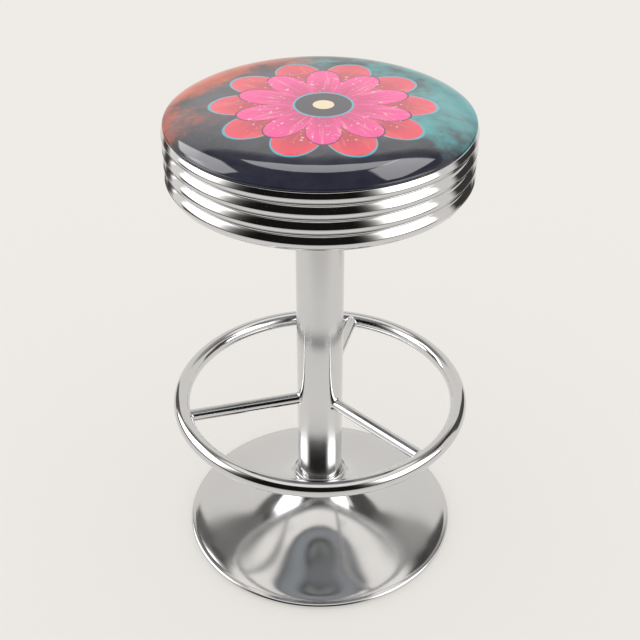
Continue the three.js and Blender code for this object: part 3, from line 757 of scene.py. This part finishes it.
def vinyl_finish(graph, place):
    """The print, seen from above: two layers of ten round petals about a point, radius = inner +
    (outer - inner) * |cos(5 a)| ** 0.5, over washes of paint on a dark ground. Its hem is plain."""
    x, y, z = place.parts()
    x, y = x - 0.004, y + 0.01
    r = (x * x + y * y) ** 0.5
    a = y.math("ARCTAN2", x)
    blot = graph.noise(place, 9.0, 6.0, 0.62)
    # Fine noise that places the painted glints on the petals.
    glint_noise = graph.noise(place, 170.0, 2.0, 0.5)
    mottle = graph.noise(place, 40.0, 5.0, 0.6)
    teal_side = (x * 4 + y * 3.5 + blot * 3.6 - mottle * 0.7).step(1.75, 2.4)
    orange_side = (x * -6 + y * 5 + blot * 2.6 - mottle * 0.6).step(1.75, 2.35)
    ground = graph.tint(mottle.step(0.3, 0.75), (0.016, 0.018, 0.032, 1), (0.045, 0.048, 0.075, 1))
    ground = graph.tint(r.step(0.13, 0.155) * 0.6, ground, (0.014, 0.015, 0.028, 1))
    ground = graph.tint(teal_side * (0.3 + mottle * 0.8), ground, (0.05, 0.44, 0.45, 1))
    ground = graph.tint(orange_side * (0.4 + mottle * 0.8), ground, (0.80, 0.12, 0.04, 1))

    def petals(inner, outer, turn):
        return inner + (outer - inner) * abs(((a + turn) * 5).math("COSINE")) ** 0.5

    def within(outline, soft=0.0004):
        return (outline - r).step(-soft, soft)

    back_edge = petals(0.076, 0.131, 0.0)
    front_edge = petals(0.05, 0.103, math.pi / 10)
    streak = graph.add("ShaderNodeCombineXYZ", {}, {0: a * 16, 1: r * 22, 2: 0.0})
    streak = graph.noise(streak, 1.0, 4.0, 0.6)
    back = within(back_edge, 0.0005)
    back_tone = graph.tint((r / back_edge).step(0.62, 1.02), (0.50, 0.008, 0.05, 1), (0.86, 0.05, 0.10, 1))
    back_tone = graph.tint(streak.step(0.52, 0.75) * 0.6, back_tone, (0.95, 0.22, 0.20, 1))
    middle_out = (r / front_edge).step(0.35, 0.95)
    front_tone = graph.tint(middle_out, (0.62, 0.005, 0.16, 1), (0.90, 0.035, 0.30, 1))
    front_tone = graph.tint(streak.step(0.5, 0.72) * 0.7, front_tone, (0.95, 0.30, 0.42, 1))
    art = graph.tint(within(back_edge + 0.0032, 0.0005), ground, (0.06, 0.42, 0.52, 1))
    art = graph.tint(back, art, back_tone)
    art = graph.tint(within(front_edge + 0.0022), art, (0.05, 0.008, 0.05, 1))
    art = graph.tint(within(front_edge), art, front_tone)
    # Painted glints: small cream specks on the back petals, standing in for glints of light on the glossy
    # coat.
    painted_glints = back * glint_noise.step(0.64, 0.69) * (r / back_edge).between(0.45, 0.8, 0.1)
    art = graph.tint(painted_glints * 0.8, art, (0.95, 0.80, 0.72, 1))
    art = graph.tint(within(0.0355), art, (0.06, 0.42, 0.52, 1))
    art = graph.tint(within(0.033), art, (0.024, 0.018, 0.04, 1))
    art = graph.tint(within(0.0125), art, (0.86, 0.70, 0.46, 1))
    art = graph.tint((0.616 - z).step(0, 0.004), art, (0.26, 0.30, 0.35, 1))
    return {
        "Base Color": art,
        "Roughness": 0.5,
        "Specular IOR Level": 0.0,
        "Coat Weight": 1.0,
        "Coat Roughness": 0.035,
        "Coat IOR": 1.5,
    }


printed_vinyl = finish("printed_vinyl", vinyl_finish)
crown_points = crown_grid(cloth_cells).reshape(-1, 3)
crown_faces = faces_of(cloth_cells + 1, cloth_cells + 1, False, False)
held = np.hypot(crown_points[:, 0], crown_points[:, 1]) > held_radius
crown_points = swollen(crown_points, crown_faces, held, cloth_cap)
# Its outer face from the rim: in under the shoulder, down inside the band, and in under the board to the
# hem's edge. Then its inner face, back out and up.
side_line = [[cushion_radius, crown_points[:, 2].min()], [0.1845, 0.6321], [0.1840, 0.6316],
             [0.1831, under_height], [0.178, under_height], [0.1757, 0.6308],
             [skirt_radius, 0.629], [skirt_radius, 0.618], [skirt_radius, 0.6095],
             [0.1750, 0.6076], [0.1735, 0.6069], [hem_inside, 0.6069],
             [hem_inside, 0.6081], [0.1735, 0.6081],
             [skirt_inside, 0.609], [skirt_inside, 0.618], [skirt_inside, 0.6295]]
side_points = turned(side_line, 4 * cloth_cells)[0]
side_faces = faces_of(*side_points.shape[:2], False, True) + len(crown_points)
cover_points = np.concatenate([crown_points, side_points.reshape(-1, 3)])
cover_faces = np.concatenate([crown_faces, side_faces])
cover = piece("printed_cover", (cover_points, cover_faces), "seat", "printed_vinyl", printed_vinyl,
              "seat_cover", "seat_foam", crease=60)

# Rear cards: two small softboxes, a half-round strip and a tall faint sheet behind the seat, which its
# gloss mirrors and nothing else does. Each is a clear sheet that glows inside a soft-edged outline.
seat_height, card_distance = 0.65, 2
seat_only = bpy.data.collections.new("lit_by_rear_cards")
seat_only.objects.link(cover)


def rear_card(name, turn, rise, level, corners, soft):
    """A 2 m square facing the seat from that direction; (u, v) lie level and upright on it. It glows
    where (u, v) is inside the corners, which are in order: the product of soft half-planes."""
    t, e = math.radians(turn), math.radians(rise)
    out = np.array([math.cos(e) * math.sin(t), -math.cos(e) * math.cos(t), math.sin(e)])
    right = np.array([math.cos(t), math.sin(t), 0])
    up = np.cross(out, right)
    centre = np.array([0, 0, seat_height]) + card_distance * out
    u, v = np.meshgrid([-1, 1], [-1, 1], indexing="ij")
    points = centre + u[..., None] * right + v[..., None] * up

    def card_light(card, place):
        dots = [card.add("ShaderNodeVectorMath", {"operation": "DOT_PRODUCT"}, {0: place, 1: axis}, "Value")
                for axis in (right, up)]
        place_u, place_v = dots[0] - float(right @ centre), dots[1] - float(up @ centre)
        inside = level
        for (u0, v0), (u1, v1) in zip(corners, corners[1:] + corners[:1]):
            length = math.hypot(u1 - u0, v1 - v0)
            depth = (place_v - v0) * ((u1 - u0) / length) - (place_u - u0) * ((v1 - v0) / length)
            inside = inside * depth.step(-soft, soft)
        return (1, 0.99, 1, 1), inside

    mirrored_only(name, (points, faces_of(2, 2, False, False)), card_light, None, seat_only)


left_corners = [(-0.29, -0.67), (0.06, -0.63), (0.68, 0.08), (0.64, 0.30), (0.21, 0.47), (-0.16, 0.12)]
right_corners = [(0.54, -0.13), (0.34, 0.31), (-0.26, 0.46), (-0.61, 0.47), (-0.61, 0.22), (-0.05, -0.41)]
arch = np.radians(np.linspace(0, 180, 9))
strip_corners = [(0.62 * float(c), 0.48 * float(s) - 0.14) for c, s in zip(np.cos(arch), np.sin(arch))]
rear_card("rear_left_card", -129, 47, 5.0, left_corners, 0.03)
rear_card("rear_right_card", 129, 56.5, 5.0, right_corners, 0.03)
rear_card("rear_strip_card", 180, 58, 4.2, strip_corners, 0.02)


def sheen_light(card, place):
    """Strength 0.9 behind the seat, fading to 0 towards its sides, its foot and its top."""
    turn, z = abs(place.azimuth()), place.parts()[2]
    return pale, turn.step(120, 150) * z.step(1.1, 1.9) * (1 - z.step(3.2, 3.4)) * 0.9


mirrored_only("rear_sheen", wall(3.0, 110, 250, 0, 3.6), sheen_light, None, seat_only)

# Band: one strip of steel rolled with four round-backed ribs, bent to a ring and bright chromed. Its
# edges turn in as narrow lips, and its ends meet at the back.
band_low, band_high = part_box("ring_band")
rib_pitch, rib_depth, rib_power, rib_count, rib_steps = 0.0184, 0.0048, 1.28, 4, 28
valley_radius, valley_flat, lip_radius, band_wall, edge_round = 0.1822, 0.07, 0.1755, 0.0012, 0.002
edge_tilt, edge_step, band_seam = math.radians(29), 0.0001, 0.0004
rib_step = np.arange(rib_count * rib_steps)
rib_share = -np.cos(np.pi * (rib_step % rib_steps) / rib_steps)
rib_across = np.minimum(abs(rib_share) * (1 + valley_flat), 1)
rib_out = rib_depth * (1 - rib_across**rib_power) ** (1 / rib_power)
rib_z = band_low.z + rib_pitch * (rib_step // rib_steps + (1 + rib_share) / 2)
rib_line = np.stack([valley_radius + rib_out, rib_z], -1)
rib_line = rib_line[rib_z < band_high.z - edge_round * (1 - math.sin(edge_tilt)) - edge_step]
edge_turn = np.linspace(edge_tilt, np.pi / 2, 8)
edge_middle = rib_line[-1, 0] - edge_step - edge_round * math.cos(edge_tilt)
top_edge = edge_round * np.stack([np.cos(edge_turn), np.sin(edge_turn)], -1)
top_edge = top_edge + [edge_middle, band_high.z - edge_round]
lip_low = np.linspace(lip_radius, valley_radius, 5)[:-1, None] * [1, 0] + [0, band_low.z]
lip_high = np.linspace(top_edge[-1, 0], lip_radius, 5)[1:, None] * [1, 0] + [0, band_high.z]
band_outline = rolled_sheet(np.concatenate([lip_low, rib_line, top_edge, lip_high])[::-1], band_wall)


def strip(outline, path):
    """A closed outline carried along a path that is open; the ends are closed by a row of quads across
    its wall, from each point to the one opposite."""
    points = path(outline)
    rows, columns = points.shape[:2]
    faces = faces_of(rows, columns, True, False)
    i = np.arange(rows // 2 - 1)
    cap = np.stack([i, i + 1, rows - 2 - i, rows - 1 - i], -1) * columns
    return points, np.concatenate([faces, cap, cap + columns - 1])


def round_the_seat(outline):
    """The outline carried once round the axis, from one side of the seam at +Y to the other."""
    r, h = outline.T[:, :, None]
    angle = np.pi / 2 + np.linspace(0, 2 * np.pi, 361)
    angle[[0, -1]] += np.array([0.5, -0.5]) * band_seam / valley_radius
    return np.stack([r * np.cos(angle), r * np.sin(angle), h + 0 * angle], -1)


band_shape = strip(band_outline, round_the_seat)
piece("ribbed_band", band_shape, "seat", "chrome", bright_chrome, "ring_band", crease=50)


# Splice plate: a curved steel plate with rounded corners, zinc-plated. It lies inside the band across the
# seam at the back, and is spot-welded to both ends.
splice_length, splice_corner, splice_thick = 0.052, 0.004, 0.0015


def plate(line, across, inward, half, corner, thick):
    """A plate carried along a line: it reaches half to either side along across, and thick along inward.
    Within corner of either end it narrows by corner * (1 - sqrt(1 - (1 - s / corner) ** 2))."""
    line, inward = np.asarray(line, float), np.asarray(inward, float)
    length = np.append(0, np.cumsum(np.linalg.norm(np.diff(line, axis=0), axis=1)))
    from_end = np.minimum(np.minimum(length, length[-1] - length) / corner, 1)
    width = (half - corner * (1 - np.sqrt(1 - (1 - from_end) ** 2)))[:, None]
    bevel = thick / 6
    side = np.array([-1, 1, 1, 1, 1, -1, -1, -1])
    inset = np.array([1, 1, 0, 0, 1, 1, 0, 0]) * bevel
    depth = np.array([0, 0, bevel, thick - bevel, thick, thick, thick - bevel, bevel])
    offset = side * (width - inset)
    points = line[:, None] + offset[..., None] * np.asarray(across) + depth[:, None] * inward[:, None]
    middle = (line + inward * thick / 2)[[0, -1], None] + 0 * points[:2]
    points = np.concatenate([middle[:1], points, middle[1:]])
    return points, faces_of(len(points), 8, False, True)


def spaced(length, corner):
    """Distances along a plate, close together round its corners."""
    end = corner * (1 - np.cos(np.linspace(0, np.pi / 2, 9)))
    return np.concatenate([end, np.linspace(corner, length - corner, 15)[1:-1], length - end[::-1]])


splice_low, splice_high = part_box("band_splice_plate")
splice_radius = splice_high.y
splice_turn = np.pi / 2 + (spaced(splice_length, splice_corner) - splice_length / 2) / splice_radius
splice_out = np.stack([np.cos(splice_turn), np.sin(splice_turn), 0 * splice_turn], -1)
splice_line = splice_out * splice_radius + [0, 0, (splice_low.z + splice_high.z) / 2]
splice_half = (splice_high.z - splice_low.z) / 2
splice_shape = plate(splice_line, [0, 0, 1], -splice_out, splice_half, splice_corner, splice_thick)
piece("splice_plate", splice_shape, "seat", "plain_steel", zinc_steel, "band_splice_plate", crease=40)

# Band brackets: four zinc-plated steel straps bent to a right angle. One leg is screwed up into the
# board through the hem, and the other is spot-welded to the inside of the band.
strap_face, strap_reach, strap_drop, strap_bend, strap_width = 0.17994, 0.042, 0.020, 0.0035, 0.020
strap_corner, strap_thick = 0.004, 0.002
strap_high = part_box("band_bracket_1")[1]
strap_level = strap_reach - strap_bend
level_r = strap_face - strap_reach + np.append(spaced(2 * strap_level, strap_corner)[:16], strap_level)
bend_turn = np.linspace(np.pi / 2, 0, 8)[1:]
bend_r = strap_face - strap_bend + strap_bend * np.cos(bend_turn)
bend_z = strap_high.z - strap_bend + strap_bend * np.sin(bend_turn)
upright_z = strap_high.z - strap_drop + spaced(2 * (strap_drop - strap_bend), strap_corner)[:14][::-1]
strap_r = np.concatenate([level_r, bend_r, 0 * upright_z + strap_face])
strap_z = np.concatenate([0 * level_r + strap_high.z, bend_z, upright_z])
strap_way = np.gradient(np.stack([strap_r, strap_z], -1), axis=0)
strap_way = strap_way / np.linalg.norm(strap_way, axis=1, keepdims=True)
screw_circle, screw_head, screw_shank = strap_face - 0.032, 0.0042, 0.0022
screw_dome, screw_rim, screw_sides = 0.0011, 0.0024, 96
cross_depth, cross_half, cross_soft = 0.001, 0.00055, 0.0002


def pan_screw(centre, head_low, head_high, tip):
    """Rows of points round the screw's axis: a domed head below, screw_dome * (r / screw_head) ** 2 high,
    with a cross cut into it where the lesser of |x|, |y| is small; a plain shank above."""
    r = np.array([0, 3, 6, 9, 12, 15, 18, 20, 22, 30, 36, 42]) / 42 * screw_head
    turn = np.linspace(0, 2 * np.pi, screw_sides, endpoint=False)
    x, y = r[:, None] * np.cos(turn), r[:, None] * np.sin(turn)
    lesser, greater = np.minimum(abs(x), abs(y)), np.maximum(abs(x), abs(y))
    narrow = np.clip((cross_half - lesser) / cross_soft, 0, 1)
    cross = narrow * np.clip((screw_head / 2 - greater) / cross_soft, 0, 1)
    dome = screw_dome * (r[:, None] / screw_head) ** 2
    head = np.stack([x, y, head_low + dome + cross_depth * cross], -1)
    upper_r = np.array([screw_head, screw_shank, screw_shank, 0.0])[:, None]
    upper_z = np.array([head_high, head_high, tip, tip])[:, None] + 0 * turn
    upper = np.stack([upper_r * np.cos(turn), upper_r * np.sin(turn), upper_z], -1)
    points = np.concatenate([head, upper]) + [*centre, 0]
    return points, faces_of(len(points), screw_sides, False, True)


for number, angle in enumerate((45, 135, 225, 315), 1):
    c, s = direction(angle)
    strap_line = np.stack([strap_r * c, strap_r * s, strap_z], -1)
    strap_in = np.stack([strap_way[:, 1] * c, strap_way[:, 1] * s, -strap_way[:, 0]], -1)
    shape = plate(strap_line, [-s, c, 0], strap_in, strap_width / 2, strap_corner, strap_thick)
    node = f"band_bracket_{number}"
    piece(f"band_strap_{number}", shape, "seat", "plain_steel", zinc_steel, node, crease=40)
    node = f"band_screw_{number}"
    low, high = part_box(node)
    shape = pan_screw((screw_circle * c, screw_circle * s), low.z, low.z + screw_rim, high.z)
    piece(f"strap_screw_{number}", shape, "seat", "plain_steel", zinc_steel, node, crease=40)


# Hem staples: thirty-two fine zinc-plated wire staples, driven up through the cover's hem into the board in
# one ring. They stand in four groups of eight, between the brackets.
staple_circle, staple_height, wire_half, wire_corner, wire_thick = 0.1692, 0.6064, 0.0006, 0.0001, 0.0005
staple_along = np.array([-0.004, -0.0039, -0.0036, 0.0036, 0.0039, 0.004])
staple_rise = np.array([0.0004, 0.0001, 0, 0, 0.0001, 0.0004])
staple_points, staple_faces = [], []
for angle in (first + offset for first in (45, 135, 225, 315) for offset in range(10, 81, 10)):
    c, s = direction(angle)
    x, y = staple_circle * c - staple_along * s, staple_circle * s + staple_along * c
    wire_line = np.stack([x, y, staple_height + staple_rise], -1)
    points, faces = plate(wire_line, [c, s, 0], [[0, 0, 1]] * 6, wire_half, wire_corner, wire_thick)
    staple_faces.append(faces + sum(map(len, staple_points)))
    staple_points.append(points.reshape(-1, 3))
staple_shape = np.concatenate(staple_points), np.concatenate(staple_faces)
staples = object_of("hem_staples", *staple_shape, zinc_steel, 40)
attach(staples, "seat")

low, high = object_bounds()
